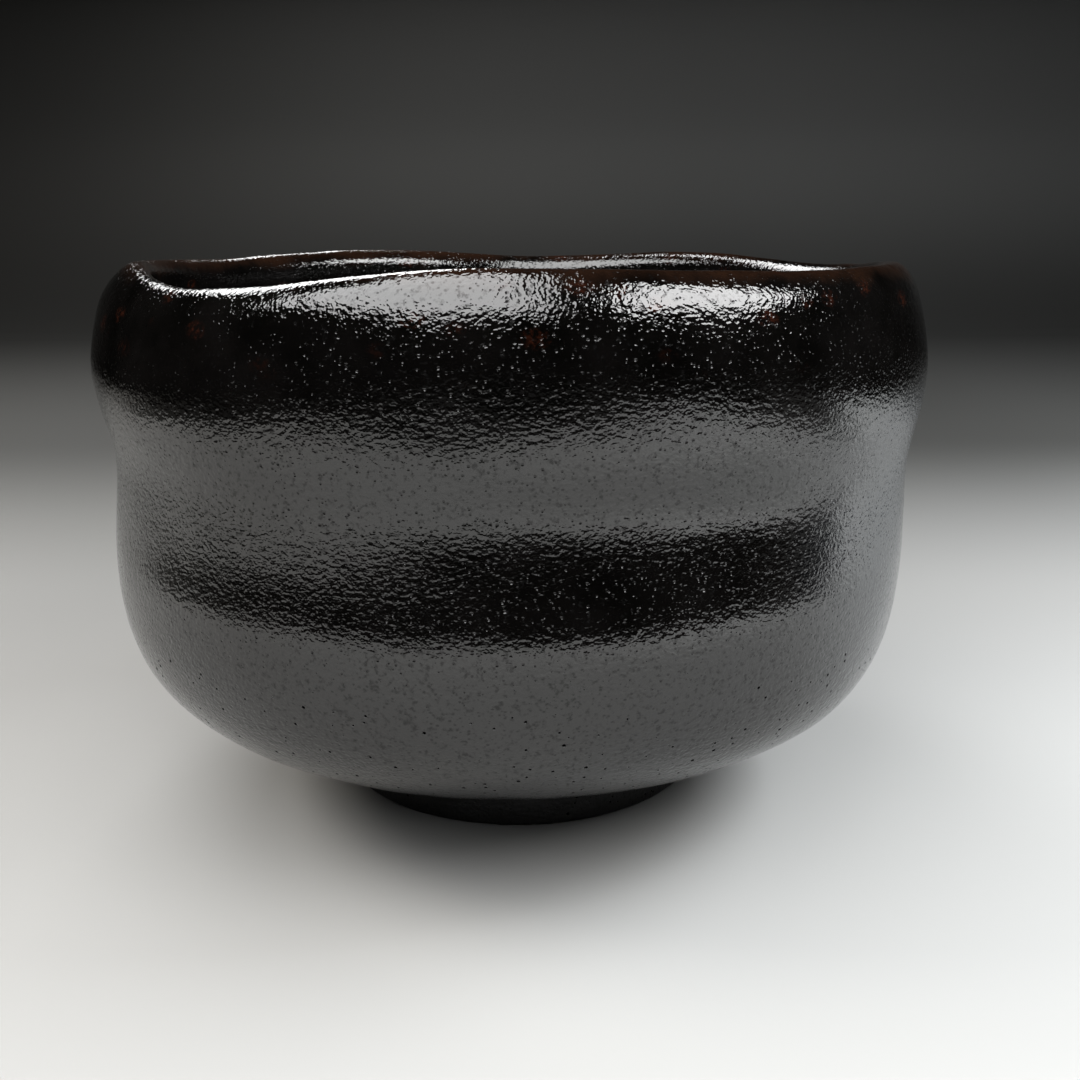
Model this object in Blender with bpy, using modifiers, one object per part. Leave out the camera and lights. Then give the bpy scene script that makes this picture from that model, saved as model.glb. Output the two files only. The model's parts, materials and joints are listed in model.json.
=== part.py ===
"""A hand-formed matcha bowl with a black glaze, built from the pieces it is made of.

The clay body and the foot ring are two pieces of clay joined by a line of slip.  The glaze is four
coats: one poured inside, one brushed outside and over the lip, one on the foot's side and one
inside the foot.  Sizes are millimetres until a line becomes a mesh, which is in metres.
The origin is the middle of the foot, on the surface that the bowl stands on; +Z is up, and -Y is
the bowl's front.  A bearing is measured in degrees from the front, turning towards +X.
"""

import math

import bpy
import numpy as np

MM = 0.001

# Driving dimensions
LIP_HEIGHT = 79.0  # mean height of the lip
LIP_RADIUS = 55.4  # where the lip is highest
BELLY_RADIUS = 60.7  # the band under the lip, the widest part
FOOT_RADIUS = 28.9  # outside of the glazed foot
FOOT_INSIDE = 19.9  # inside of the glazed foot
GLAZE = 0.8  # thickness of a glaze coat
GAP = 0.3  # clearance between pieces that touch
FOOT_SHIFT = 0.5  # how far the foot stands off the bowl's middle, towards +X
UNDERSIDE = 7.4  # height of the clay body's flat underside
UNDERSIDE_STEP = 0.4  # how far the flat underside stops short of the glazed wall's lower edge
RING_TOP = 5.8  # top of the foot ring
RING_OUTER_EDGE = 0.6  # rounding of the ring's outer edge, where it stands
RING_INNER_EDGE = 0.9
BARE_HEIGHT = 0.45  # clay left bare above the surface that the foot stands on
RECESS_CORNER = 1.5  # rounding inside the foot
BEAD_OVERHANG = 0.3  # how far the squeezed slip stands out of the foot's side
INSIDE_SEAM = 69.0  # height inside the bowl where the outer coat ends
SEAM_GAP = 0.35  # clearance between the two coats there

SEGMENTS = 48  # round the axis
LONGEST_STEP = 6.0  # along a turned line
TURN_STEP = math.radians(24)

# The visible face from the middle of the inside, over the lip and down to the glaze's lower edge,
# as (radius, height)
INSIDE_LINE = (
    (0.0, 12.6),
    (9.0, 12.8),
    (19.0, 13.8),
    (31.0, 15.6),
    (41.5, 19.6),
    (48.2, 26.5),
    (51.6, 36.0),
    (52.9, 48.0),
    (53.6, 60.0),
    (53.5, 68.5),
    (52.7, 74.4),
    (53.3, 77.9),
)
OUTSIDE_LINE = (
    (57.7, 77.4),
    (59.5, 73.0),
    (BELLY_RADIUS, 65.2),
    (60.1, 60.0),
    (59.2, 55.2),
    (59.0, 49.5),
    (59.3, 43.5),
    (59.5, 37.5),
    (59.1, 31.0),
    (56.8, 23.0),
    (49.6, 15.3),
    (39.7, 11.0),
    (31.2, 7.8),
)

# Height of the lip by bearing: five soft crests, each with a dip after it
LIP_HEIGHTS = (
    (0, 79.3),
    (35, 78.4),
    (75, 78.7),
    (112, 77.4),
    (148, 79.1),
    (174, 78.1),
    (212, 79.7),
    (247, 78.6),
    (285, 79.2),
    (318, 76.5),
)
LEVEL_BELOW = 40.0  # the lip's crests and dips fade out down to this height
ROUND_OVER = 40.0  # the wall goes from round at the foot to its full unevenness over this height

# Where fingers pressed or left the wall: bearing, height, spread of each, and depth (out is plus)
HAND_MARKS = {
    "front groove": (10, 50.5, 30, 5.5, -0.75),
    "left end of the groove": (-38, 43.5, 18, 4.0, -0.5),
    "ridge under the groove": (-2, 35.5, 40, 5.0, 0.5),
    "swell over the groove": (-14, 61.0, 34, 5.0, 0.35),
    "hollow under the front lip": (-2, 67.0, 32, 6.0, -0.7),
    "lower edge of that hollow": (0, 62.5, 28, 3.5, -0.45),
    "left crest of the belly": (-52, 66.5, 14, 4.0, 0.8),
    "right of the belly's crest": (50, 67.5, 11, 4.5, -0.5),
    "hollow under the right lip": (50, 72.5, 12, 5.0, -0.3),
    "right thumb hollow": (62, 54.0, 14, 7.0, -0.3),
    "back hollow": (168, 47.0, 26, 8.0, -0.7),
    "back swell": (212, 58.0, 24, 7.0, 0.4),
    "left swell": (-96, 37.0, 26, 9.0, 0.35),
    "left waist": (-72, 53.5, 18, 3.5, -0.5),
    "left lip leaning in": (-78, 79.5, 24, 3.0, -1.5),
    "right swell": (72, 58.5, 20, 5.0, 0.6),
    "front of the hip": (0, 15.5, 42, 5.0, -0.8),
    "right of the hip": (62, 16.5, 22, 4.0, 0.5),
}
TWO_SIDED = -0.2  # how far the wall is from round, with two and with three bulges
THREE_SIDED = 0.25
SWAY = 0.55  # how far the lower wall stands towards -X
SWAY_HEIGHT = 33.0
SWAY_SPREAD = 14.0


# Lines
def curve_through(points):
    """A close-set run of points along the smooth curve through the given ones (a cubic spline)."""
    knots = np.array(points, float)
    spans = np.linalg.norm(np.diff(knots, axis=0), axis=1)
    count = len(knots)
    system = np.eye(count)
    target = np.zeros((count, 2))
    for i in range(1, count - 1):
        system[i, i - 1 : i + 2] = spans[i - 1], 2 * (spans[i - 1] + spans[i]), spans[i]
        slopes = np.diff(knots[i - 1 : i + 2], axis=0) / spans[i - 1 : i + 1, None]
        target[i] = 6 * (slopes[1] - slopes[0])
    bend = np.linalg.solve(system, target)
    pieces = []
    for i, span in enumerate(spans):
        t = np.linspace(0, 1, 20, endpoint=False)[:, None]
        straight = (1 - t) * knots[i] + t * knots[i + 1]
        pull = ((1 - t) ** 3 - (1 - t)) * bend[i] + (t**3 - t) * bend[i + 1]
        pieces.append(straight + pull * span**2 / 6)
    return np.vstack([*pieces, knots[-1:]])


def graded(points):
    """Fewer points along the same line, closer together where it turns."""
    steps = np.diff(points, axis=0)
    headings = np.unwrap(np.arctan2(steps[:, 1], steps[:, 0]))
    turns = np.abs(np.diff(headings, prepend=headings[0]))
    cost = np.linalg.norm(steps, axis=1) / LONGEST_STEP + turns / TURN_STEP
    reached = np.concatenate([[0], np.cumsum(cost)])
    wanted = np.linspace(0, reached[-1], math.ceil(reached[-1]) + 1)
    return np.column_stack([np.interp(wanted, reached, points[:, k]) for k in (0, 1)])


def offset(line, distance):
    """The line moved to its right-hand side, which is into the clay."""
    along = np.gradient(line, axis=0)
    along /= np.linalg.norm(along, axis=1)[:, None]
    moved = line + distance * np.column_stack([along[:, 1], -along[:, 0]])
    moved[line[:, 0] == 0, 0] = 0
    return moved


def arc(middle, radius, start, end, count=4):
    """Points round part of a circle, from one angle to another in degrees."""
    angles = np.radians(np.linspace(start, end, count))
    return np.array(middle) + radius * np.column_stack([np.cos(angles), np.sin(angles)])


# The hand-formed shape
def lip_height(bearing):
    """The lip's height at a bearing, easing from each crest to the next dip."""
    bearings = [b for b, _ in LIP_HEIGHTS] + [360]
    heights = [h for _, h in LIP_HEIGHTS] + [LIP_HEIGHTS[0][1]]
    bearing %= 360
    i = np.searchsorted(bearings, bearing, side="right") - 1
    share = (bearing - bearings[i]) / (bearings[i + 1] - bearings[i])
    ease = (1 - math.cos(math.pi * share)) / 2
    return heights[i] + (heights[i + 1] - heights[i]) * ease


def pressed(bearing, height):
    """How far out the wall stands from its turned shape."""
    around = math.radians(bearing)
    share = min(1, max(0, (height - UNDERSIDE) / ROUND_OVER))
    out = share * (TWO_SIDED * math.sin(2 * around) + THREE_SIDED * math.cos(3 * around))
    for at, level, wide, tall, depth in HAND_MARKS.values():
        apart = (bearing - at + 180) % 360 - 180
        out += depth * math.exp(-((apart / wide) ** 2) - ((height - level) / tall) ** 2)
    return out


def hand_formed(point):
    """Where a point of the turned shape, in metres, goes when the wall has been worked."""
    radius = math.hypot(point.x, point.y) / MM
    if radius < GAP:
        return point
    bearing = math.degrees(math.atan2(point.x, -point.y))
    height = point.z / MM
    share = min(1, max(0, (height - LEVEL_BELOW) / (LIP_HEIGHT - LEVEL_BELOW)))
    lift = (lip_height(bearing) - LIP_HEIGHT) * share**2 * (3 - 2 * share)
    wider = 1 + pressed(bearing, height) / radius if height > UNDERSIDE else 1
    sway = SWAY * math.exp(-(((height - SWAY_HEIGHT) / SWAY_SPREAD) ** 2))
    formed = point * wider
    formed.x -= sway * MM
    formed.z = point.z + lift * MM
    return formed


# Objects
def finish(name, color, roughness):
    """A plain material for one piece."""
    material = bpy.data.materials.new(name)
    material.use_nodes = True
    shader = material.node_tree.nodes["Principled BSDF"]
    shader.inputs["Base Color"].default_value = (*color, 1)
    shader.inputs["Roughness"].default_value = roughness
    shader.inputs["Metallic"].default_value = 0
    return material


def turned(name, line, closed, material, coat=0.0, worked=False, shift=0.0):
    """A line of (radius, height) turned round the axis, as one object in the bowl's collection.

    The line runs down the outer side of the piece.  With a coat, the open surface gets that
    thickness on its inner side.  A worked piece follows the hand-formed wall, and the shift moves
    a piece towards +X.
    """
    mesh = bpy.data.meshes.new(name)
    corners = [(radius * MM, 0, height * MM) for radius, height in line]
    edges = [(i, i + 1) for i in range(len(line) - 1)]
    if closed:
        edges.append((len(line) - 1, 0))
    mesh.from_pydata(corners, edges, [])
    piece = bpy.data.objects.new(name, mesh)
    bowl.objects.link(piece)
    screw = piece.modifiers.new("Turn", "SCREW")
    screw.axis = "Z"
    screw.steps = screw.render_steps = SEGMENTS
    screw.use_merge_vertices = True
    screw.merge_threshold = 0.0001
    screw.use_smooth_shade = True
    apply_modifiers(piece)
    if worked:
        for vertex in piece.data.vertices:
            vertex.co = hand_formed(vertex.co)
    if coat:
        solidify = piece.modifiers.new("Coat", "SOLIDIFY")
        solidify.thickness = coat * MM
        solidify.offset = -1
        solidify.use_even_offset = True
        apply_modifiers(piece)
    piece.data.materials.clear()
    piece.data.materials.append(material)
    piece.parent = origin
    piece.location.x = shift * MM
    return piece


def apply_modifiers(piece):
    """Makes the object's mesh what its modifiers show."""
    graph = bpy.context.evaluated_depsgraph_get()
    made = bpy.data.meshes.new_from_object(piece.evaluated_get(graph))
    piece.modifiers.clear()
    plain = piece.data
    piece.data = made
    bpy.data.meshes.remove(plain)
    made.name = piece.name


# Pieces
def clay_body():
    """The pinched bowl itself: wall, lip and floor in one piece of clay."""
    wall = offset(FACE, GLAZE + GAP)
    wall = wall[np.concatenate([[True], wall[1:, 1] > UNDERSIDE + GAP])]
    edge = wall[-1, 0] - UNDERSIDE_STEP
    underside = [(edge, UNDERSIDE), (FOOT_INSIDE, UNDERSIDE), (0, UNDERSIDE)]
    line = np.vstack([wall, underside])
    return turned("clay_body", line, False, BLACK_CLAY, worked=True)


def foot_ring():
    """A coil of clay thrown or luted under the bowl, trimmed flat where it stands."""
    outside = FOOT_RADIUS - GLAZE - GAP
    inside = FOOT_INSIDE + GLAZE + GAP
    top = arc((outside - RING_OUTER_EDGE, RING_TOP - RING_OUTER_EDGE), RING_OUTER_EDGE, 90, 0)
    outer_edge = arc((outside - RING_OUTER_EDGE, RING_OUTER_EDGE), RING_OUTER_EDGE, 0, -90)
    inner_edge = arc((inside + RING_INNER_EDGE, RING_INNER_EDGE), RING_INNER_EDGE, -90, -180)
    line = np.vstack([[(inside, RING_TOP)], top, outer_edge, inner_edge])
    return turned("foot_ring", line, True, BARE_CLAY, shift=FOOT_SHIFT)


def luting_slip():
    """The slip that joins the ring to the bowl, squeezed out in a bead round the outside."""
    low = RING_TOP + GAP
    high = UNDERSIDE - GAP
    inside = FOOT_INSIDE + GLAZE + GAP
    thick = high - low
    bead_middle = (FOOT_RADIUS + BEAD_OVERHANG - thick / 2, low + thick / 2)
    bead = arc(bead_middle, thick / 2, 90, -90, 5)
    line = np.vstack([[(inside, low), (inside, high)], bead])
    return turned("luting_slip", line, True, DRY_SLIP, shift=FOOT_SHIFT)


def glaze_coats():
    """The four coats of black glaze, each standing off the clay by the gap."""
    coat = {"material": BLACK_GLAZE, "closed": False, "coat": GLAZE}
    over_lip = FACE[SEAM:]
    poured = FACE[: SEAM + 1].copy()
    last = poured[-1] - poured[-2]
    poured[-1] -= last / np.linalg.norm(last) * SEAM_GAP
    turned("outer_glaze", over_lip, worked=True, **coat)
    turned("inner_glaze", poured, worked=True, **coat)
    foot_top = RING_TOP - GAP
    side = [(FOOT_RADIUS, h) for h in np.linspace(foot_top, BARE_HEIGHT, 4)]
    turned("foot_glaze", side, shift=FOOT_SHIFT, **coat)
    ceiling = UNDERSIDE - GAP - GLAZE
    corner = arc((FOOT_INSIDE - RECESS_CORNER, ceiling - RECESS_CORNER), RECESS_CORNER, 0, 90)
    wall = [(FOOT_INSIDE, BARE_HEIGHT), (FOOT_INSIDE, ceiling / 2)]
    middle = [(FOOT_INSIDE / 2, ceiling), (0, ceiling)]
    recess = np.vstack([wall, corner, middle])
    turned("recess_glaze", recess, shift=FOOT_SHIFT, **coat)


for old in list(bpy.data.objects):
    bpy.data.objects.remove(old)

bowl = bpy.data.collections.new("matcha_bowl")
bpy.context.scene.collection.children.link(bowl)
origin = bpy.data.objects.new("bowl_origin", None)
bowl.objects.link(origin)

BLACK_CLAY = finish("fired clay under the glaze", (0.035, 0.028, 0.024), 0.85)
BARE_CLAY = finish("bare fired clay", (0.05, 0.038, 0.03), 0.88)
DRY_SLIP = finish("fired slip", (0.028, 0.024, 0.022), 0.7)
BLACK_GLAZE = finish("black glaze", (0.005, 0.005, 0.006), 0.08)

FACE = graded(curve_through([*INSIDE_LINE, (LIP_RADIUS, LIP_HEIGHT), *OUTSIDE_LINE]))
LIP = int(np.argmax(FACE[:, 1]))
SEAM = int(np.argmin(np.abs(FACE[:LIP, 1] - INSIDE_SEAM)))

clay_body()
foot_ring()
luting_slip()
glaze_coats()
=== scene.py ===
# %% [markdown]
# # A black-glazed tea bowl
# The bowl is two pieces of clay, a line of slip and four coats of glaze.  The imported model
# already holds each of them at its right size.  This lesson gives them what firing and fingers
# leave behind: a wall that is not quite even, a skin with a fine grain and pinholes, an edge
# where the glaze stops in a roll, and a bare foot.

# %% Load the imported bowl
import json
import math

import bpy
from mathutils import Matrix, Vector, noise

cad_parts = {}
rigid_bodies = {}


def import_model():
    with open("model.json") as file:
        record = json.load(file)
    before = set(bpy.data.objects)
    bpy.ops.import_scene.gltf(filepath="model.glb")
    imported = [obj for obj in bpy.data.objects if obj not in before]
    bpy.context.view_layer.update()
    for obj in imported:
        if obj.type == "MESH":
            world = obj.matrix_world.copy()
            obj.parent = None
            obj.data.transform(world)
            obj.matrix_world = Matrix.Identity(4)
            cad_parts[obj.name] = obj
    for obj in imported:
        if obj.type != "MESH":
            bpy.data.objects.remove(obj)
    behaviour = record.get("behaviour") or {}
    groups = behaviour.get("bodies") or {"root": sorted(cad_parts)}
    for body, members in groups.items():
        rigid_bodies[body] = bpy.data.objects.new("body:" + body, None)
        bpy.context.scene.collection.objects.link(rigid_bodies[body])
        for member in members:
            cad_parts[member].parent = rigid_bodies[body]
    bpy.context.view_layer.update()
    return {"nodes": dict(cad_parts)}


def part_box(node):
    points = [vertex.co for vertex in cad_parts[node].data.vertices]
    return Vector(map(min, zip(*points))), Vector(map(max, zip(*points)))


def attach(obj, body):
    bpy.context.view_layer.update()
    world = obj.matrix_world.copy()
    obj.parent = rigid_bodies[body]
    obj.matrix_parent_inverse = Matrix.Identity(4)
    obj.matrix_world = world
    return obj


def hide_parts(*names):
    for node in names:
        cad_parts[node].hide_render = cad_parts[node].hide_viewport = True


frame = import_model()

MM = 0.001

# %% [markdown]
# ## The camera
# The camera comes first, because it says how large a mark has to be to be seen.  The bowl is
# looked at from just above its lip, close by, so that its mouth is a thin dark line and its
# front leans towards the viewer.  A real lens that close gives strong perspective, which a
# longer lens from further off would lose.

# %% Camera
LENS = 38.0
STANDS_AT = Vector((3.85, -176.5, 82.9))  # from the middle of the bowl's base, in mm
LOOKS_DOWN = math.radians(15.13)
LEANS = math.radians(-0.26)

camera_data = bpy.data.cameras.new("camera")
camera_data.lens = LENS
camera_data.sensor_width = 36.0
camera_data.clip_start = 0.01
camera = bpy.data.objects.new("camera", camera_data)
bpy.context.scene.collection.objects.link(camera)
tilt = Matrix.Rotation(math.pi / 2 - LOOKS_DOWN, 4, "X")
roll = Matrix.Rotation(LEANS, 4, "Z")
camera.matrix_world = Matrix.Translation(STANDS_AT * MM) @ tilt @ roll
bpy.context.scene.camera = camera
print("lens", LENS, "mm, standing", round(STANDS_AT.length), "mm away")

# %% [markdown]
# ## Small tools for modelling
# A step of modelling picks one piece, opens it, chooses some of it and changes what is chosen.
# An operator acts on everything that is selected, so each step begins by letting go of the
# rest.  A modifier is applied as soon as it is added, so that the next step works on real faces.


# %% Helpers for making and shaping
def only(piece):
    """Makes this the one selected object."""
    if bpy.context.mode != "OBJECT":
        bpy.ops.object.mode_set(mode="OBJECT")
    bpy.ops.object.select_all(action="DESELECT")
    piece.select_set(True)
    bpy.context.view_layer.objects.active = piece


def edit(piece, kind="VERT"):
    """Opens the piece in edit mode with nothing selected."""
    only(piece)
    bpy.ops.object.mode_set(mode="EDIT")
    bpy.ops.mesh.select_all(action="DESELECT")
    bpy.ops.mesh.select_mode(type=kind)


def done():
    """Closes edit mode."""
    bpy.ops.object.mode_set(mode="OBJECT")


def keep_modifier(piece, kind, **settings):
    """Adds a modifier with these settings and applies it."""
    only(piece)
    modifier = piece.modifiers.new(kind.title(), kind)
    for name, value in settings.items():
        setattr(modifier, name, value)
    bpy.ops.object.modifier_apply(modifier=modifier.name)


def faces_of(piece):
    return len(piece.data.polygons)


print("selected before any work:", len(bpy.context.selected_objects), "objects")

# %% [markdown]
# ## The table
# Black glaze shows almost nothing of itself.  What is seen is the pale table in the parts that
# lean down, and the dark room in the parts that lean up, so the surroundings are part of the
# finish.  The table is a flat grid.  Its far edge is spun upwards into a curve and then pulled
# straight up as a wall, as paper is hung behind a thing on show, so there is no corner.

# %% The table and the wall behind it
WALL_STARTS = 0.75  # metres behind the bowl
WALL_CURVE = 0.35
WALL_RISES = 1.4
HALF_WIDTH = 1.6

bpy.ops.mesh.primitive_grid_add(x_subdivisions=2, y_subdivisions=2, size=2 * HALF_WIDTH)
table = bpy.context.object
table.name = "table_and_sweep"
only(table)
bpy.ops.object.mode_set(mode="EDIT")
bpy.ops.transform.translate(value=(0, WALL_STARTS - HALF_WIDTH, 0))
done()
for vertex in table.data.vertices:
    vertex.select = vertex.co.y > WALL_STARTS - 0.01
bpy.ops.object.mode_set(mode="EDIT")
bpy.ops.mesh.select_mode(type="EDGE")
bpy.ops.mesh.spin(
    steps=12,
    angle=-math.pi / 2,
    center=(0, WALL_STARTS, WALL_CURVE),
    axis=(1, 0, 0),
)
bpy.ops.mesh.extrude_region_move(TRANSFORM_OT_translate={"value": (0, 0, WALL_RISES)})
bpy.ops.mesh.select_all(action="SELECT")
bpy.ops.mesh.normals_make_consistent(inside=False)
done()
table.data.shade_smooth()
print("the wall rises to", round(max(vertex.co.z for vertex in table.data.vertices), 2), "m")

# %% [markdown]
# ## Sums in a material
# A material is a small sum, worked out afresh at every point of a surface.  These helpers add
# its nodes: one puts a value or a link on any socket, one does arithmetic, and one makes a soft
# step at a place, which is what most edges in light and in glaze look like.


# %% Helpers for sums
def add(tree, kind, inputs, **settings):
    """Adds a shader node.  inputs gives each socket a value, or an output to link to it."""
    made = tree.nodes.new("ShaderNode" + kind)
    for name, value in settings.items():
        setattr(made, name, value)
    for socket, value in inputs.items():
        if isinstance(value, bpy.types.NodeSocket):
            tree.links.new(value, made.inputs[socket])
        else:
            made.inputs[socket].default_value = value
    return made


def math_of(tree, operation, *values):
    """One sum in a material, on numbers or outputs."""
    sockets = dict(enumerate(values))
    return add(tree, "Math", sockets, operation=operation).outputs["Value"]


def product(tree, first, second):
    return math_of(tree, "MULTIPLY", first, second)


def step_up(tree, value, at, softness):
    """0 below a place and 1 above it, in mm, easing over twice the softness."""
    inputs = {"Value": value, "From Min": at - softness, "From Max": at + softness}
    return add(tree, "MapRange", inputs, interpolation_type="SMOOTHSTEP").outputs["Result"]


def soft_steps(tree, value, start, steps):
    """start, changed by a soft step at each place: where, how soft, and by how much."""
    total = start
    for at, softness, rise in steps:
        total = math_of(tree, "ADD", total, product(tree, step_up(tree, value, at, softness), rise))
    return total


# %% Helpers for color and place
def plain_material(name, color, roughness):
    """A material of one color, to be built on."""
    material = bpy.data.materials.new(name)
    material.use_nodes = True
    shader = material.node_tree.nodes["Principled BSDF"]
    shader.inputs["Base Color"].default_value = (*color, 1)
    shader.inputs["Roughness"].default_value = roughness
    return material


def place_in_mm(tree):
    place = add(tree, "TexCoord", {}).outputs["Object"]
    return add(tree, "VectorMath", {0: place, "Scale": 1 / MM}, operation="SCALE").outputs["Vector"]


def height_of(tree, place):
    return add(tree, "SeparateXYZ", {"Vector": place}).outputs["Z"]


def blend(tree, share, first, second):
    """The first color where the share is 0 and the second where it is 1."""
    colors = {"Factor": share}
    for socket, color in ((6, first), (7, second)):
        colors[socket] = color if isinstance(color, bpy.types.NodeSocket) else (*color, 1)
    return add(tree, "Mix", colors, data_type="RGBA").outputs[2]


# %% [markdown]
# ## The pale sheet
# A pale sheet lies on a dark table.  Where the wall of the bowl leans down towards the sheet it
# mirrors it as grey, and where a hollow turns the wall to look past the sheet's near end there
# is a dark band, so where the sheet ends matters more than its own look.  It stops some twenty
# centimetres in front of the bowl, and its front right corner is missing, which makes the band
# thick on that side.  A cut sheet could be modelled, but its ends have to be soft in the
# reflection, and soft steps in the material give that at once.

# %% The sheet's outline
SHEET_FRONT = -285.0  # where the sheet ends before the bowl's middle, in mm
SHEET_LEFT = -270.0
LEFT_END_STOPS = 120.0  # behind this the sheet is wider
SHEET_CORNER = (205.0, 0.0)  # its front right corner is missing past these
CORNER_SLANT = 0.3

paper = plain_material("pale paper on a dark table with painted light and shade", (0.8, 0.8, 0.79), 0.9)
table.data.materials.append(paper)
tree = paper.node_tree
split = add(tree, "SeparateXYZ", {"Vector": place_in_mm(tree)})
across, deep, high = (split.outputs[axis] for axis in "XYZ")

slanting = math_of(tree, "ADD", across, product(tree, deep, CORNER_SLANT))
left_of_corner = soft_steps(tree, slanting, 1.0, [(SHEET_CORNER[0], 38, -1.0)])
behind_corner = step_up(tree, deep, SHEET_CORNER[1], 35)
right_part = math_of(tree, "MAXIMUM", left_of_corner, behind_corner)
inside_left = step_up(tree, across, SHEET_LEFT, 12)
behind_left = step_up(tree, deep, LEFT_END_STOPS, 30)
left_part = math_of(tree, "MAXIMUM", inside_left, behind_left)
sheet = product(tree, step_up(tree, deep, SHEET_FRONT, 12), product(tree, right_part, left_part))
print("sheet drawn with", len(tree.nodes), "nodes")

# %% [markdown]
# Light and shade on the sheet are painted into its color: painted shade behind the bowl, painted
# light growing towards the viewer and towards a window on the right, and a little painted light
# high on the wall.  Each of these is a list of soft steps.  Their product can be as much as 2, and
# a blend takes a share between 0 and 1, so it is halved and the paper's color is made twice as
# bright.

# %% Light and shade painted on the sheet and the wall
# painted shade behind the bowl, and painted light towards the viewer, the window and up the wall
PAINTED_SHADE_BEHIND_BOWL = [(116.0, 176.0, -0.95)]  # each step: where, how soft, and by how much
PAINTED_LIGHT_TO_VIEWER = [(25.0, 50.0, -0.2), (-75.0, 50.0, -0.15), (-120.0, 50.0, -0.3)]
PAINTED_LIGHT_IN_FRONT = 1.65
PAINTED_LIGHT_TO_WINDOW = [(60.0, 190.0, 0.4), (215.0, 60.0, 0.6)]
PAINTED_LIGHT_UP_THE_WALL = [(90.0, 90.0, 0.51), (260.0, 80.0, 0.35)]
PAINTED_LIGHT_ALONG_THE_WALL = [(-300.0, 300.0, 0.75)]
DARK_TABLE = (0.012, 0.012, 0.011)
PALE_PAPER = (0.375, 0.375, 0.3675)

painted_light_on_table = soft_steps(tree, deep, 1.0, PAINTED_SHADE_BEHIND_BOWL)
painted_light_on_table = product(tree, painted_light_on_table, soft_steps(tree, deep, PAINTED_LIGHT_IN_FRONT, PAINTED_LIGHT_TO_VIEWER))
painted_light_on_table = product(tree, painted_light_on_table, soft_steps(tree, across, 0.88, PAINTED_LIGHT_TO_WINDOW))
painted_light_on_wall = soft_steps(tree, high, 0.0, PAINTED_LIGHT_UP_THE_WALL)
painted_light_on_wall = product(tree, painted_light_on_wall, soft_steps(tree, across, 0.25, PAINTED_LIGHT_ALONG_THE_WALL))
# the painted light and shade of table and wall together
painted_light = math_of(tree, "ADD", painted_light_on_table, painted_light_on_wall)
share = product(tree, sheet, product(tree, painted_light, 0.5))
shade = blend(tree, share, DARK_TABLE, PALE_PAPER)
tree.links.new(shade, tree.nodes["Principled BSDF"].inputs["Base Color"])
print("table finished with", len(tree.nodes), "nodes")

# %% [markdown]
# ## Light
# Two soft panels close overhead are what the shoulder of the bowl mirrors as two bright patches,
# and one behind lights the inside of the far lip.  Their sizes and turns set the shapes of those
# patches.  Two lamps at the sides give the shadow under the bowl its shape; they are hidden from
# reflections, so that the glaze doesn't show them.  The room itself is nearly dark.


# %% Panels, lamps and room
def panel(name, middle, size, turn, brightness):
    """A soft rectangular light facing down.  middle and size are in mm, turn in degrees."""
    light = bpy.data.lights.new(name, "AREA")
    light.shape = "RECTANGLE"
    light.size = size[0] * MM
    light.size_y = size[1] * MM
    light.energy = brightness * math.pi * light.size * light.size_y
    holder = bpy.data.objects.new(name, light)
    holder.location = Vector(middle) * MM
    holder.rotation_euler = (0, 0, math.radians(turn))
    holder.visible_camera = False
    bpy.context.scene.collection.objects.link(holder)
    return holder


WARM = (1, 0.95, 0.88)
COOL = (0.93, 0.97, 1)

panel("left panel", (-140, -310, 360), (400, 580), 8, 6.1)
panel("right panel", (390, -215, 360), (420, 340), 18, 10.0)
panel("back panel", (-190, 330, 360), (280, 340), 0, 9.0)
for name, sideways, tint in (("left lamp", -540, WARM), ("right lamp", 440, COOL)):
    lamp = panel(name, (sideways, 75, 380), (260, 300), 0, 32.0)
    lamp.data.color = tint
    lamp.visible_glossy = False

room = bpy.data.worlds.new("dim room")
room.use_nodes = True
air = room.node_tree.nodes["Background"]
air.inputs["Color"].default_value = (0.95, 1.0, 0.93, 1)
air.inputs["Strength"].default_value = 0.005
bpy.context.scene.world = room
bpy.context.scene.view_settings.view_transform = "Standard"
print("lights:", [light.name for light in bpy.data.lights])

# %% [markdown]
# ## The outer glaze
# On the real bowl the outer coat is brushed on thickly, over the lip and a little way down the
# inside, and it stops in a rolled edge just above the foot.  It could be modelled from a circle
# extruded ring by ring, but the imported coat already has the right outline, with every hollow
# that the fingers left, so its visible face is copied and refined instead: merged, turned back
# into four-sided faces, cut free of its hidden side, and smoothed by subdivision.


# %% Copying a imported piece
MERGE = 0.002  # points closer than this become one, in mm


def refined_copy(node, name):
    """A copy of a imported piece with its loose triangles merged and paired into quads."""
    piece = frame["nodes"][node].copy()
    piece.data = piece.data.copy()
    for key in list(piece.keys()):
        del piece[key]
    piece.parent = None
    piece.name = piece.data.name = name
    bpy.context.scene.collection.objects.link(piece)
    edit(piece)
    bpy.ops.mesh.select_all(action="SELECT")
    bpy.ops.mesh.remove_doubles(threshold=MERGE * MM)
    bpy.ops.mesh.tris_convert_to_quads(face_threshold=math.pi, shape_threshold=math.pi)
    done()
    return piece


outer_coat = refined_copy("outer_glaze", "outer_glaze_coat")
print("whole coat:", faces_of(outer_coat), "faces,", len(outer_coat.data.vertices), "points")


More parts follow.
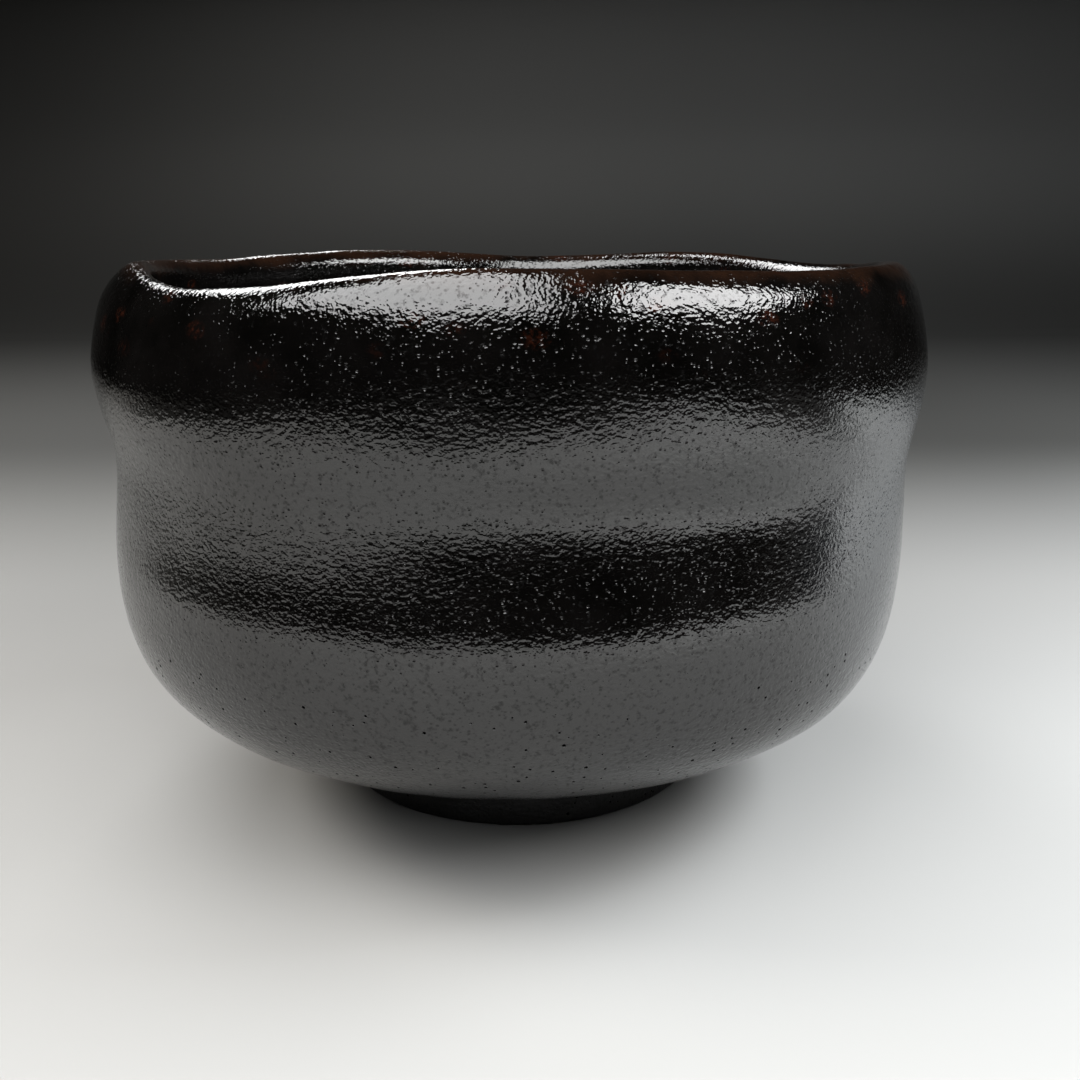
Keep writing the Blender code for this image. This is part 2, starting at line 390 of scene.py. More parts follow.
# %% Keeping the side that shows
def keep_only_side(piece, belongs):
    """Cuts a thin coat at its rims and keeps the side of the face that belongs rates highest."""
    edit(piece, "EDGE")
    bpy.ops.mesh.edges_select_sharp(sharpness=math.radians(55))
    bpy.ops.mesh.mark_seam(clear=False)
    bpy.ops.mesh.select_mode(type="FACE")
    bpy.ops.mesh.select_all(action="DESELECT")
    done()
    seed = max(piece.data.polygons, key=belongs)
    seed.select = True
    only(piece)
    bpy.ops.object.mode_set(mode="EDIT")
    bpy.ops.mesh.select_linked(delimit={"SEAM"})
    bpy.ops.mesh.select_all(action="INVERT")
    bpy.ops.mesh.delete(type="FACE")
    done()


def outward(face):
    """Large for a face that is far from the axis and looks away from it."""
    away = Vector((face.center.x, face.center.y, 0)).normalized()
    return face.normal.dot(away) * math.hypot(face.center.x, face.center.y)


keep_only_side(outer_coat, outward)
print("its visible side:", faces_of(outer_coat), "faces")
keep_modifier(outer_coat, "SUBSURF", levels=2, render_levels=2)
corners = {len(face.vertices) for face in outer_coat.data.polygons}
print("refined:", faces_of(outer_coat), "faces with", corners, "corners")

# %% [markdown]
# The wall of a bowl pinched and scraped by hand is never quite even.  Three things are added to
# the smooth face: slow swellings a thumb wide with smaller ones on them, the longer dents that
# the scraper left, and close rings near the foot where it was trimmed on a wheel.  The lower rim
# gets its rolled edge.  A displacement picture would need a file, so each of these is a small
# move along the surface's own normal, worked out from noise, and nothing changes size.


# %% Moving a surface by noise
def swell(point, width, squash=1.0):
    """Smooth noise between -1 and 1, with swellings of this width in mm."""
    spot = Vector((point.x, point.y, point.z * squash)) / (width * MM)
    return noise.noise(spot)


def press(piece, depth_at):
    """Moves each point along its normal by depth_at(point) in mm."""
    mesh = piece.data
    moves = [vertex.normal * (depth_at(vertex.co) * MM) for vertex in mesh.vertices]
    for vertex, move in zip(mesh.vertices, moves):
        vertex.co += move
    mesh.update()


def wander(piece, height, reach, most):
    """Moves the rim at this height up and down by up to most, fading over reach, all in mm."""
    for vertex in piece.data.vertices:
        near = max(0.0, 1 - abs(vertex.co.z / MM - height) / reach)
        flat = Vector((vertex.co.x, vertex.co.y, 0))
        slow = noise.noise(flat / (7 * MM))
        quick = noise.noise(flat / (2 * MM))
        vertex.co.z += most * MM * near * (slow + 0.5 * quick)
    piece.data.update()


samples = [Vector((bearing * MM, 0, 0)) for bearing in (4, 12, 20)]
print("three swellings:", [round(swell(point, 16), 2) for point in samples])


# %% Marks of the fingers and the wheel
SKIN = 0.17  # how far the fired coat stands out, in mm
SWELLINGS = ((0.16, 16, 1.0), (0.05, 6.5, 1.6), (0.018, 3.2, 1.8))  # how far, how wide, how flat
TRIMMED_ABOVE_FOOT = (8.0, 6.0)  # where the rings are deepest, and over how much they fade
RING_SPACING = 0.9
LIP_CREST = 78.0
ROLLED_EDGE = (8.3, 0.7, 0.22)  # height, half width, and how far out


def hand_made(point):
    """How far out the wall stands at a point, in mm."""
    height = point.z / MM
    out = SKIN
    for far, width, squash in SWELLINGS:
        out += far * swell(point, width, squash)
    near_foot = max(0.0, 1 - (height - TRIMMED_ABOVE_FOOT[0]) / TRIMMED_ABOVE_FOOT[1])
    turns = math.hypot(point.x, point.y) / (RING_SPACING * MM)
    out += 0.03 * near_foot * math.sin(2 * math.pi * turns)
    near_lip = max(0.0, 1 - abs(height - LIP_CREST) / 3)
    out += 0.12 * near_lip * swell(point, 9)
    level, half_width, roll_out = ROLLED_EDGE
    return out + roll_out * math.exp(-(((height - level) / half_width) ** 2))


rim_out = hand_made(Vector((0, -0.04, ROLLED_EDGE[0] * MM)))
print("the rolled edge stands out", round(rim_out, 2), "mm at the front")


# %% Marks of the scraper
SCRAPER_MARKS = (  # bearing in degrees, height, the spread of each, and how far out in mm
    (-36, 39.5, 20, 3.0, 0.15),
    (-4, 39.0, 45, 3.5, 0.20),
    (6, 54.0, 18, 3.0, -0.25),
    (14, 38.5, 24, 5.0, 0.36),
    (14, 51.0, 24, 5.0, -0.32),
    (29, 40.0, 13, 4.5, 0.22),
    (29, 51.5, 13, 4.5, -0.24),
    (6, 40.5, 12, 4.0, 0.12),
)


def scraped(point):
    """How far out the scraper's marks bring the wall at a point, in mm."""
    bearing = math.degrees(math.atan2(point.x, -point.y))
    out = 0.0
    for at, level, wide, tall, far in SCRAPER_MARKS:
        apart = (bearing - at + 180) % 360 - 180
        out += far * math.exp(-((apart / wide) ** 2) - ((point.z / MM - level) / tall) ** 2)
    return out


print("scraper marks:", len(SCRAPER_MARKS))

# %% The outer coat
COAT = 0.8  # thickness of a coat in mm
LOWER_RIM = 7.8

press(outer_coat, lambda point: hand_made(point) + scraped(point))
wander(outer_coat, LOWER_RIM, 2.5, 0.35)
keep_modifier(outer_coat, "SOLIDIFY", thickness=COAT * MM, offset=-1, use_even_offset=False)
keep_modifier(outer_coat, "BEVEL", width=0.22 * MM, segments=2, angle_limit=math.radians(60))
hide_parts("outer_glaze")
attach(outer_coat, "root")
print("outer coat:", faces_of(outer_coat), "faces")

# %% [markdown]
# ## The inner glaze
# The inside is poured, so it is smoother than the outside: only slow swellings.  It is made from
# its packed coat in the same way.  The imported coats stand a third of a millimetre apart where
# they meet inside the lip, so that they don't touch; fired glaze runs together there, and the
# inner coat's rim is drawn up to close the line.

# %% The inner coat
INSIDE_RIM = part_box("inner_glaze")[1].z / MM
RIM_DRAWN_UP = 0.32

inner_coat = refined_copy("inner_glaze", "inner_glaze_coat")
keep_only_side(inner_coat, lambda face: -outward(face))
keep_modifier(inner_coat, "SUBSURF", levels=2, render_levels=2)
press(inner_coat, lambda point: 0.12 * swell(point, 18))
for vertex in inner_coat.data.vertices:
    near = max(0.0, 1 - (INSIDE_RIM - vertex.co.z / MM) / 4)
    vertex.co.z += RIM_DRAWN_UP * MM * min(1.0, near)
keep_modifier(inner_coat, "SOLIDIFY", thickness=COAT * MM, offset=-1, use_even_offset=False)
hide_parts("inner_glaze")
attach(inner_coat, "root")
print("inner coat:", faces_of(inner_coat), "faces")

# %% [markdown]
# ## The foot ring
# The ring is a coil of clay joined under the bowl and trimmed flat, with its edges softened so
# that it doesn't chip.  A torus would be too round.  Here its cross-section is drawn as a flat
# plane at its real place, its corners are bevelled, and the outline is spun round the foot's
# middle, just as the clay was turned against a tool.


# %% Drawing an outline
FOOT_MIDDLE = sum(corner.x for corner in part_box("foot_ring")) / 2


def ring_size(node):
    """Outer radius, lowest and highest point of a round piece of the foot, in mm."""
    low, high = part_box(node)
    return (high.x - low.x) / 2 / MM, low.z / MM, high.z / MM


def outline(name, left, right, low, high):
    """A flat upright plane between these distances from the foot's middle and these heights."""
    middle = Vector(((left + right) / 2, 0, (low + high) / 2)) * MM
    middle.x += FOOT_MIDDLE
    bpy.ops.mesh.primitive_plane_add(size=1, location=middle, rotation=(math.pi / 2, 0, 0))
    piece = bpy.context.object
    piece.name = piece.data.name = name
    only(piece)
    bpy.ops.object.transform_apply(location=True, rotation=True, scale=True)
    edit(piece)
    bpy.ops.mesh.select_all(action="SELECT")
    size = ((right - left) * MM, 1, (high - low) * MM)
    bpy.ops.transform.resize(value=size, center_override=middle)
    done()
    return piece


print("the foot's middle is", round(FOOT_MIDDLE / MM, 2), "mm from the axis")


# %% Rounding and turning an outline
def select_where(piece, items, chosen):
    """Selects the points or edges that chosen says yes to and opens edit mode; says how many."""
    edit(piece, "EDGE" if items == "edges" else "VERT")
    done()
    count = 0
    for item in getattr(piece.data, items):
        item.select = bool(chosen(item))
        count += item.select
    bpy.ops.object.mode_set(mode="EDIT")
    return count


def round_corners(piece, radius, chosen):
    """Rounds the outline's corners at the points that chosen says yes to."""
    select_where(piece, "vertices", lambda vertex: chosen(vertex.co))
    bpy.ops.mesh.bevel(offset=radius * MM, segments=4, affect="VERTICES")
    done()


def turn_outline(piece, longest, steps):
    """Splits the outline's long edges and spins it once round the foot's middle."""
    edit(piece)
    bpy.ops.mesh.select_all(action="SELECT")
    bpy.ops.mesh.delete(type="ONLY_FACE")
    done()

    def too_long(edge):
        start, end = (piece.data.vertices[index].co for index in edge.vertices)
        return (start - end).length > longest * MM

    while select_where(piece, "edges", too_long):
        bpy.ops.mesh.subdivide(number_cuts=1)
        done()
    edit(piece)
    bpy.ops.mesh.select_all(action="SELECT")
    bpy.ops.mesh.spin(steps=steps, angle=2 * math.pi, center=(FOOT_MIDDLE, 0, 0), axis=(0, 0, 1))
    bpy.ops.mesh.select_all(action="SELECT")
    bpy.ops.mesh.remove_doubles(threshold=MERGE * MM)
    bpy.ops.mesh.normals_make_consistent(inside=False)
    done()


# %% The foot ring
CLEARANCE = 0.3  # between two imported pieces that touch, in mm

foot_radius, foot_low, foot_top = ring_size("foot_ring")
foot_inside = ring_size("recess_glaze")[0] + CLEARANCE
foot_center = (foot_radius + foot_inside) / 2 * MM + FOOT_MIDDLE
half_way_up = (foot_low + foot_top) / 2 * MM

foot_ring = outline("foot_ring_clay", foot_inside, foot_radius, foot_low, foot_top)
round_corners(foot_ring, 0.6, lambda at: at.z < half_way_up and at.x > foot_center)
round_corners(foot_ring, 0.9, lambda at: at.z < half_way_up and at.x < foot_center)
round_corners(foot_ring, 0.2, lambda at: at.z > half_way_up)
turn_outline(foot_ring, 1.0, 96)
keep_modifier(foot_ring, "SUBSURF", levels=1, render_levels=1)


def trimmed(point):
    """Throwing marks, and the small chatter of the trimming tool, in mm."""
    out_from_middle = math.hypot(point.x - FOOT_MIDDLE, point.y) / MM
    worn = 0.5 if point.z < 0.3 * MM else 1.0
    return -0.03 + worn * (0.02 * math.sin(out_from_middle * 4.5) + 0.05 * swell(point, 4))


press(foot_ring, trimmed)
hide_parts("foot_ring")
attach(foot_ring, "root")
print("foot ring:", faces_of(foot_ring), "faces, radius", round(foot_radius, 1), "mm")

# %% [markdown]
# ## The line of slip
# Slip is clay let down to a cream, the glue between bowl and ring.  Some of it squeezes out of
# the joint and dries as a beaded line, which shows above the foot.  The outline is a thin bar
# whose outer end is round; after the spin its outer edge is pushed in and out by noise about a
# millimetre across, which gives the beads.

# %% Slip
slip_radius, slip_low, slip_top = ring_size("luting_slip")
slip_center = (foot_inside + slip_radius) / 2 * MM + FOOT_MIDDLE

slip = outline("slip_line", foot_inside, slip_radius, slip_low, slip_top)
round_corners(slip, 0.42, lambda at: at.x > slip_center)
round_corners(slip, 0.15, lambda at: at.x < slip_center)
turn_outline(slip, 1.3, 240)
keep_modifier(slip, "SUBSURF", levels=1, render_levels=1)


def beaded(point):
    """Squeezed-out beads, only where the slip stands out of the joint, in mm."""
    out_from_middle = math.hypot(point.x - FOOT_MIDDLE, point.y) / MM
    squeezed = min(1.0, max(0.0, out_from_middle - slip_radius + 2))
    return squeezed * (0.02 + 0.2 * swell(point, 1.3) + 0.12 * swell(point, 4))


press(slip, beaded)
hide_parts("luting_slip")
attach(slip, "root")
print("slip:", faces_of(slip), "faces")

# %% [markdown]
# ## The foot's two coats
# The same black glaze covers the outside of the foot and the hollow inside it, and it is wiped
# off where the bowl stands, or it would stick to the kiln shelf.  The outside coat is a spun
# band with round rims, and its lower rim wanders a little, as a wiped edge does.  The coat in
# the hollow has a curved corner, so it is refined from its packed coat like the big ones.

# %% The coat round the foot
coat_radius, coat_low, coat_top = ring_size("foot_glaze")

foot_coat = outline("foot_glaze_coat", coat_radius - COAT, coat_radius, coat_low, coat_top)
round_corners(foot_coat, 0.36, lambda at: True)
turn_outline(foot_coat, 0.8, 144)
keep_modifier(foot_coat, "SUBSURF", levels=1, render_levels=1)
press(foot_coat, lambda point: 0.1 * swell(point, 7) + 0.03 * swell(point, 2))
wander(foot_coat, coat_low, 1.5, 0.25)
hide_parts("foot_glaze")
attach(foot_coat, "root")
print("coat round the foot:", faces_of(foot_coat), "faces")


# %% The coat in the hollow
def middle_of_hollow(face):
    """Large for a face that looks down and is near the middle."""
    return -face.normal.z - math.hypot(*face.center.xy) / (20 * MM)


recess_coat = refined_copy("recess_glaze", "recess_glaze_coat")
keep_only_side(recess_coat, middle_of_hollow)
keep_modifier(recess_coat, "SUBSURF", levels=2, render_levels=2)
press(recess_coat, lambda point: 0.15 * swell(point, 9) + 0.04 * swell(point, 3))
wander(recess_coat, coat_low, 1.5, 0.25)
keep_modifier(recess_coat, "SOLIDIFY", thickness=COAT * MM, offset=-1, use_even_offset=False)
keep_modifier(recess_coat, "BEVEL", width=0.2 * MM, segments=2, angle_limit=math.radians(60))
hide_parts("recess_glaze")
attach(recess_coat, "root")
print("coat in the hollow:", faces_of(recess_coat), "faces")

# %% [markdown]
# ## Effects that several finishes share
# A black glaze fired fast is glassy but not smooth.  Each thing that roughens it is a node group
# that reads a place in millimetres, so that it keeps its real size, and puts out a number.  A
# group is built once and used in each glaze with its own values.


# %% Helpers for the groups
def effect(name, numbers, outputs):
    """A node group that reads a place in mm and some numbers, and puts out some values."""
    tree = bpy.data.node_groups.new(name, "ShaderNodeTree")
    tree.interface.new_socket("Place", in_out="INPUT", socket_type="NodeSocketVector")
    for number, usual in numbers.items():
        socket = tree.interface.new_socket(number, in_out="INPUT", socket_type="NodeSocketFloat")
        socket.default_value = usual
    for output in outputs:
        tree.interface.new_socket(output, in_out="OUTPUT", socket_type="NodeSocketFloat")
    start = tree.nodes.new("NodeGroupInput")
    end = tree.nodes.new("NodeGroupOutput")
    return tree, start.outputs, end.inputs


def stretched(tree, place, by):
    return add(tree, "VectorMath", {0: place, 1: by}, operation="MULTIPLY").outputs["Vector"]


def mist(tree, place, scale, detail=1.0, roughness=0.5):
    """Smooth noise round 0.5, with this many swellings to a millimetre."""
    inputs = {"Vector": place, "Scale": scale, "Detail": detail, "Roughness": roughness}
    return add(tree, "TexNoise", inputs).outputs[0]


def spread(tree, value, low, high):
    """Stretches a value so that low becomes 0 and high becomes 1."""
    return add(tree, "MapRange", {"Value": value, "From Min": low, "From Max": high}).outputs["Result"]


def between(tree, share, low, high):
    """low where the share is 0 and high where it is 1."""
    return add(tree, "MapRange", {"Value": share, "To Min": low, "To Max": high}).outputs["Result"]


def spots(tree, place, spacing, smallest, largest):
    """Round spots of random sizes in mm, 1 in their middle and 0 outside, and a random number."""
    cells = add(tree, "TexVoronoi", {"Vector": place, "Scale": 1 / spacing})
    chance = add(tree, "SeparateColor", {"Color": cells.outputs["Color"]}).outputs["Red"]
    size = between(tree, chance, smallest / spacing, largest / spacing)
    across = math_of(tree, "DIVIDE", cells.outputs["Distance"], size)
    inside = add(tree, "Math", {0: 1.0, 1: across}, operation="SUBTRACT", use_clamp=True)
    return inside.outputs["Value"], chance


# %% [markdown]
# Orange peel is the uneven skin of a stiff glaze.  Long waves and a fine grain break the edge of
# every reflection, and small pits catch a speck of light in the dark parts and show as dark dots
# in the pale ones.  The waves are noise, drawn out a little round the bowl as the brush went,
# and the pits are the cells of a Voronoi pattern.  Broken patches lose their shine with the pits.

# %% Orange peel and pits
PIT_SPACING = 0.7
PIT_RADIUS = (0.06, 0.27)
WAVES_TO_A_MM = 0.7
GRAINS_TO_A_MM = 1.9

numbers = {"Waves": 0.06, "Grain": 0.03, "Pits": 0.05}
peel, given, result = effect("orange peel", numbers, ["Height", "Dull"])
waves = mist(peel, stretched(peel, given["Place"], (1.0, 1.0, 1.9)), WAVES_TO_A_MM, 1.5)
grain = mist(peel, stretched(peel, given["Place"], (1.0, 1.0, 1.2)), GRAINS_TO_A_MM, 1.0)
flattened = stretched(peel, given["Place"], (1.0, 1.0, 1.25))
pits, _ = spots(peel, flattened, PIT_SPACING, *PIT_RADIUS)
height = product(peel, waves, given["Waves"])
height = math_of(peel, "ADD", height, product(peel, grain, given["Grain"]))
height = math_of(peel, "SUBTRACT", height, product(peel, pits, given["Pits"]))
peel.links.new(height, result["Height"])
broken = spread(peel, mist(peel, given["Place"], 1.5, 3.0, 0.6), 0.54, 0.68)
wide_pits = math_of(peel, "MINIMUM", product(peel, pits, 2.2), 1.0)
peel.links.new(math_of(peel, "MAXIMUM", broken, wide_pits), result["Dull"])
print(peel.name, "has", len(peel.nodes), "nodes")

# %% [markdown]
# Pinholes are where a bubble broke through the glaze as it set.  They gather in some places and
# not in others, and only low on the wall.  Just above the foot, the lines left by trimming show
# through the glaze: a sine that runs with the height, bent by noise, with scratches on it.

# %% Pinholes and trimming lines
HOLE_SPACING = 1.3
HOLE_RADIUS = (0.01, 0.28)
HOLE_STEEPNESS = 3.5
LINE_TURNS = 15.0  # radians to a mm, so a line every 0.42 mm

pinholes, given, result = effect("pinholes", {"Highest": 30.0}, ["Hole"])
hole, _ = spots(pinholes, given["Place"], HOLE_SPACING, *HOLE_RADIUS)
gathered = math_of(pinholes, "GREATER_THAN", mist(pinholes, given["Place"], 0.09), 0.4)
level = height_of(pinholes, given["Place"])
low_down = math_of(pinholes, "LESS_THAN", level, given["Highest"])
hole = product(pinholes, product(pinholes, hole, low_down), gathered)
deep_hole = add(pinholes, "Math", {0: hole, 1: HOLE_STEEPNESS}, operation="MULTIPLY", use_clamp=True)
pinholes.links.new(deep_hole.outputs["Value"], result["Hole"])

lines, given, result = effect("trimming lines", {"Below": 11.5}, ["Height"])
level = height_of(lines, given["Place"])
wavy = math_of(lines, "ADD", level, product(lines, mist(lines, given["Place"], 0.15), 1.2))
groove = math_of(lines, "SINE", product(lines, wavy, LINE_TURNS))
scratch = mist(lines, stretched(lines, given["Place"], (0.25, 0.25, 5.0)), 0.9, 2.0)
groove = math_of(lines, "ADD", product(lines, groove, 0.25), scratch)
below = step_up(lines, math_of(lines, "SUBTRACT", given["Below"], level), 0, 1.5)
lines.links.new(product(lines, groove, below), result["Height"])
print(pinholes.name, "and", lines.name, "are built")

# %% [markdown]
# The melt is clearer in one place than another, which a large soft noise gives.  Near the lip,
# iron in the clay shows through as dark red flecks.  They are rare, so only one cell in five of
# a Voronoi pattern keeps its spot, and a finer noise tears the spot's round edge.

# %% Clouds and iron flecks
FLECK_SPACING = 4.2
FLECK_RADIUS = (0.4, 2.2)
FLECKS_LEFT_OUT = 0.8

clouds, given, result = effect("cloudy melt", {"Scale": 0.12}, ["Cloud"])
cloud = mist(clouds, given["Place"], given["Scale"], 4.0, 0.6)
clouds.links.new(spread(clouds, cloud, 0.35, 0.65), result["Cloud"])

iron, given, result = effect("iron flecks", {"Lowest": 66.0}, ["Fleck"])
torn = spread(iron, mist(iron, given["Place"], 1.6, 3.0, 0.7), 0.45, 0.62)
flattened = stretched(iron, given["Place"], (1.0, 1.0, 1.5))
fleck, chance = spots(iron, flattened, FLECK_SPACING, *FLECK_RADIUS)
above_lowest = math_of(iron, "SUBTRACT", height_of(iron, given["Place"]), given["Lowest"])
high_up = step_up(iron, above_lowest, 0, 4)
rare = math_of(iron, "GREATER_THAN", chance, FLECKS_LEFT_OUT)
fleck = product(iron, product(iron, fleck, torn), product(iron, high_up, rare))
iron.links.new(fleck, result["Fleck"])
print(clouds.name, "and", iron.name, "are built")

# %% [markdown]
# Bare clay has a grain of its own, a fine noise with many layers, and pale specks of grit that
# stand in it and fall out of it.

# %% Clay grit
grit, given, result = effect("clay grit", {"Scale": 1.0}, ["Grain", "Speck"])
grain = mist(grit, given["Place"], given["Scale"], 5.0, 0.65)
speck, _ = spots(grit, given["Place"], 1.1, 0.05, 0.35)
grit.links.new(grain, result["Grain"])
grit.links.new(speck, result["Speck"])
print("effects:", [group.name for group in bpy.data.node_groups])

# %% [markdown]
# ## The glazes
# The glaze is one recipe with four sets of numbers, because the four coats were brushed, poured
# or wiped.  It is almost black, with a high index of refraction, since a lead or iron glaze
# mirrors more than window glass.  Where it runs thin over the crest of the lip it turns brown,
# and low on the wall it is thin and less shiny.  A plain black with a low roughness would look
# like plastic: what makes it glaze is that color, shine and height change together.


# %% Putting an effect in a material
def use(tree, group, place, **values):
    """Places a shared effect in a material with its own values."""
    node = add(tree, "Group", {}, node_tree=group)
    tree.links.new(place, node.inputs["Place"])
    for name, value in values.items():
        node.inputs[name].default_value = value
    return node.outputs


def relief(tree, shader, height):
    """Turns a height in mm into bumps."""
    bump = add(tree, "Bump", {"Height": height, "Distance": MM, "Strength": 1.0})
    tree.links.new(bump.outputs["Normal"], shader.inputs["Normal"])


# %% The glaze's color
DEEP_BLACK = (0.0008, 0.0007, 0.0006)
CLOUDY_BLACK = (0.0022, 0.0019, 0.0018)
THIN_BROWN = (0.009, 0.004, 0.0022)
IRON_RED = (0.03, 0.0075, 0.0035)
PAINTED_BLUE_REFLECTION = (0.009, 0.0112, 0.0145)  # a painted bluish reflection low on the wall's right side
# painted shade: the inside of a pinhole is blacker than the glaze
PAINTED_SHADE_IN_PINHOLES = (0.0004, 0.0004, 0.0004)
PAINTED_REFLECTION_STARTS = 44.0  # to the right of the middle, in mm
PAINTED_REFLECTION_ENDS = 61.0  # in height


def glaze_color(tree, place, cloud, fleck, thin_above, with_painted_reflection):
    """Black, cloudy in places, brown where thin, with iron flecks and a painted bluish reflection on
    one side.
    """
    level = height_of(tree, place)
    ragged = math_of(tree, "ADD", level, product(tree, cloud, 2.0))
    thin = step_up(tree, ragged, thin_above, 1.5)
    color = blend(tree, cloud, DEEP_BLACK, CLOUDY_BLACK)
    color = blend(tree, thin, color, THIN_BROWN)
    color = blend(tree, fleck, color, IRON_RED)
    # painted reflection: a pale bluish patch low on the wall's right side
    if with_painted_reflection:
        low_down = soft_steps(tree, level, 1.0, [(PAINTED_REFLECTION_ENDS, 4, -1.0)])
        sideways = add(tree, "SeparateXYZ", {"Vector": place}).outputs["X"]
        painted_reflection_share = product(tree, step_up(tree, sideways, PAINTED_REFLECTION_STARTS, 13), low_down)
        color = blend(tree, painted_reflection_share, color, PAINTED_BLUE_REFLECTION)
    return color


# %% The glaze's recipe
GLAZE_MIRRORS = 1.68  # index of refraction
HOLE_DEPTH = 0.5
LINE_DEPTH = 0.12
NOWHERE = 1000.0  # a height above the whole bowl


def glaze(
    name,
    clear,
    cloudy,
    relief_of,
    dullness,
    lines_below=0.0,
    holes_below=0.0,
    flecks_above=NOWHERE,
    thin_above=NOWHERE,
    dry_below=13.0,
    with_painted_reflection=False,
):
    """Black glaze.  clear and cloudy are its roughness where clear and cloudy; relief_of is its
    waves, grain and pits in mm; dullness is how far its specks lose their shine, from 0 to 1;
    the heights are in mm."""
    waves, grain, pits = relief_of
    material = plain_material(name, DEEP_BLACK, clear)
    tree = material.node_tree
    shader = tree.nodes["Principled BSDF"]
    shader.inputs["IOR"].default_value = GLAZE_MIRRORS
    place = place_in_mm(tree)
    cloud = use(tree, clouds, place, Scale=0.12)["Cloud"]
    hole = use(tree, pinholes, place, Highest=holes_below)["Hole"]
    fleck = use(tree, iron, place, Lowest=flecks_above)["Fleck"]
    skin = use(tree, peel, place, Waves=waves, Grain=grain, Pits=pits)
    trimmed_lines = use(tree, lines, place, Below=lines_below)["Height"]

    color = glaze_color(tree, place, cloud, fleck, thin_above, with_painted_reflection)
    # painted shade in the pinholes
    tree.links.new(blend(tree, hole, color, PAINTED_SHADE_IN_PINHOLES), shader.inputs["Base Color"])

    dry = soft_steps(tree, height_of(tree, place), 1.0, [(dry_below, 4, -1.0)])
    rough = math_of(tree, "ADD", between(tree, cloud, clear, cloudy), product(tree, dry, 0.2))
    dull = product(tree, skin["Dull"], dullness)
    rough = math_of(tree, "ADD", rough, product(tree, dull, 0.5))
    rough = math_of(tree, "MAXIMUM", rough, product(tree, hole, 0.9))
    tree.links.new(rough, shader.inputs["Roughness"])
    # metallic black in pits and pinholes mirrors nothing: painted shade inside them
    tree.links.new(math_of(tree, "MAXIMUM", hole, dull), shader.inputs["Metallic"])

    raised = math_of(tree, "ADD", skin["Height"], product(tree, trimmed_lines, LINE_DEPTH))
    relief(tree, shader, math_of(tree, "SUBTRACT", raised, product(tree, hole, HOLE_DEPTH)))
    return material


# %% [markdown]
# A metallic black throws nothing back, while a glassy black still mirrors the room.  So pits and
# pinholes are made metallic as well as dark and rough.  The pits and pinholes are real, and the
# black that mirrors nothing in them is painted shade, which is what lets them show as black dots
# on a bright reflection.  The coats at the foot are thin and worn, and mirror less.

# %% Four glazes
brushed = glaze(
    "brushed black glaze",
    clear=0.03,
    cloudy=0.05,
    relief_of=(0.06, 0.07, 0.042),
    dullness=0.4,
    lines_below=11.5,
    holes_below=31.0,
    flecks_above=71.0,
    thin_above=79.0,
    with_painted_reflection=True,
)
poured = glaze(
    "poured black glaze",
    clear=0.03,
    cloudy=0.06,
    relief_of=(0.05, 0.03, 0.04),
    dullness=0.3,
    flecks_above=69.0,
    dry_below=0.0,
)
on_foot = glaze(
    "thin black glaze on the foot",
    clear=0.08,
    cloudy=0.16,
    relief_of=(0.04, 0.05, 0.04),
    dullness=0.3,
    holes_below=4.5,
)
on_foot.node_tree.nodes["Principled BSDF"].inputs["IOR"].default_value = 1.42
in_foot = glaze(
    "thin black glaze in the foot",
    clear=0.12,
    cloudy=0.3,
    relief_of=(0.05, 0.05, 0.06),
    dullness=0.4,
    holes_below=8.0,
)
print("glazes:", [finish.name for finish in (brushed, poured, on_foot, in_foot)])

# %% [markdown]
# ## Fired clay and slip
# Bare clay is the opposite of glaze: rough, warm and gritty, so it takes its look from color and
# grain and not from reflections.  One recipe serves the body, the foot and the slip, which is
# paler and closer because it was sieved.


# %% Fired clay and slip
PALE_GRIT = (0.11, 0.09, 0.07)
CLAY_MIRRORS = 1.45


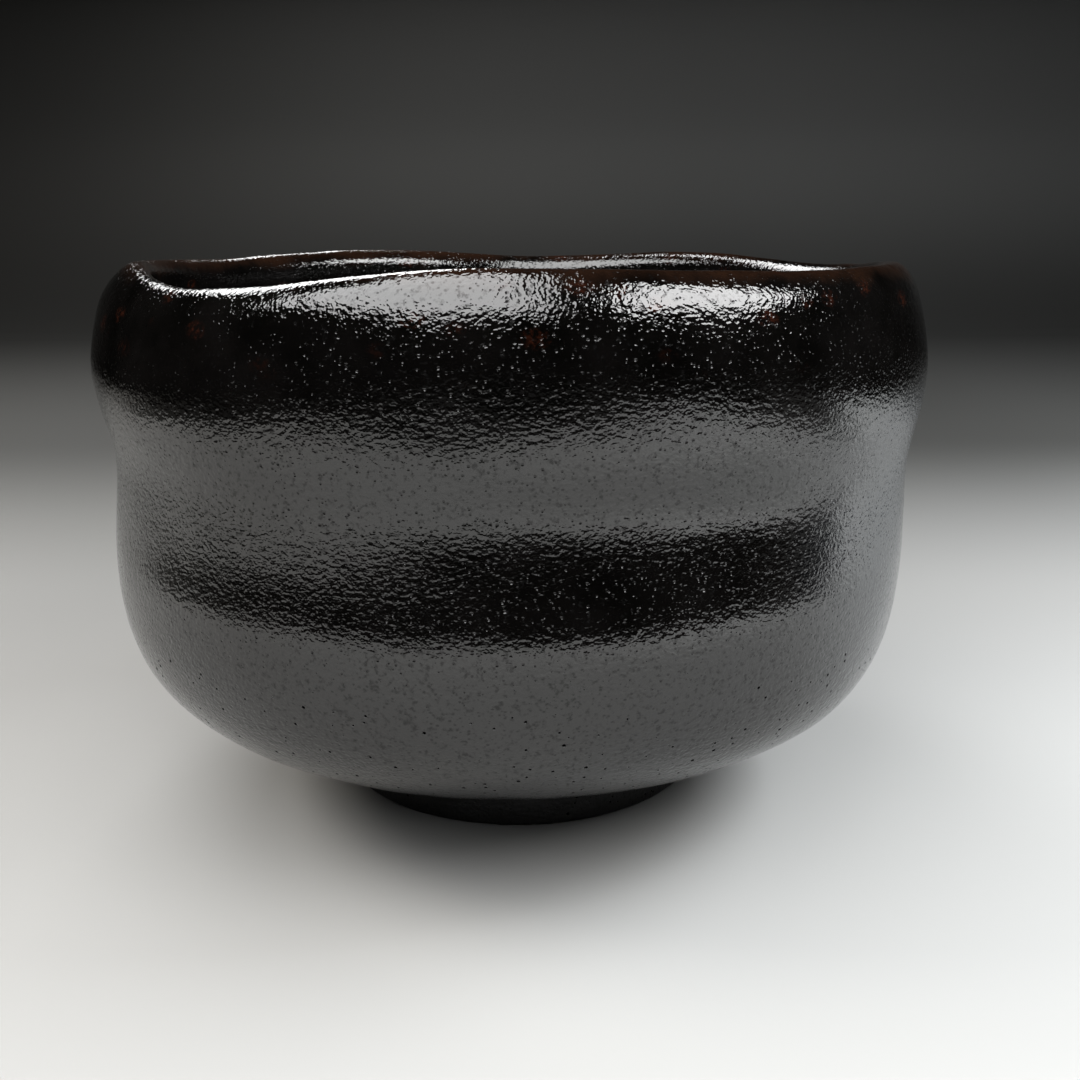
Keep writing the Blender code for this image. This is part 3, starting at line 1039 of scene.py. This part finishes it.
def fired_clay(name, dark, pale, roughness, scale, depth):
    """Bare clay: two colors, roughness, grains to a millimetre, and relief in mm."""
    material = plain_material(name, dark, roughness)
    tree = material.node_tree
    shader = tree.nodes["Principled BSDF"]
    shader.inputs["IOR"].default_value = CLAY_MIRRORS
    body = use(tree, grit, place_in_mm(tree), Scale=scale)
    color = blend(tree, body["Grain"], dark, pale)
    color = blend(tree, product(tree, body["Speck"], 0.7), color, PALE_GRIT)
    tree.links.new(color, shader.inputs["Base Color"])
    rough = between(tree, body["Grain"], roughness - 0.12, roughness + 0.08)
    tree.links.new(rough, shader.inputs["Roughness"])
    height = math_of(tree, "SUBTRACT", body["Grain"], product(tree, body["Speck"], 0.6))
    relief(tree, shader, product(tree, height, depth))
    return material


BODY_COLORS = (0.02, 0.014, 0.01), (0.05, 0.037, 0.028)
FOOT_COLORS = (0.028, 0.019, 0.013), (0.075, 0.055, 0.04)
SLIP_COLORS = (0.03, 0.025, 0.02), (0.14, 0.115, 0.09)

body_clay = fired_clay("fired clay of the body", *BODY_COLORS, 0.85, 0.8, 0.12)
foot_clay = fired_clay("fired clay of the foot", *FOOT_COLORS, 0.85, 1.1, 0.14)
dry_slip = fired_clay("fired slip", *SLIP_COLORS, 0.5, 0.9, 0.1)
print("clays:", [finish.name for finish in (body_clay, foot_clay, dry_slip)])

# %% [markdown]
# ## Dressing the bowl
# Each piece gets its one finish and smooth shading.  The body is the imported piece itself, which
# stays where it is and only changes its material, because it is almost wholly under the coats.

# %% Giving each piece its finish
finishes = {
    outer_coat: brushed,
    inner_coat: poured,
    foot_coat: on_foot,
    recess_coat: in_foot,
    foot_ring: foot_clay,
    slip: dry_slip,
}
for piece, finish in finishes.items():
    piece.data.materials.clear()
    piece.data.materials.append(finish)
    piece.data.shade_smooth()
for holder in frame["nodes"]["clay_body"].material_slots:
    holder.material = body_clay
print("clay body has", len(frame["nodes"]["clay_body"].material_slots), "material slot")

# %% [markdown]
# ## The last look
# The pieces are counted, and the triangles of each are printed.

# %% Count the triangles
for piece in finishes:
    piece.data.calc_loop_triangles()
    print(piece.name, len(piece.data.loop_triangles), "triangles")
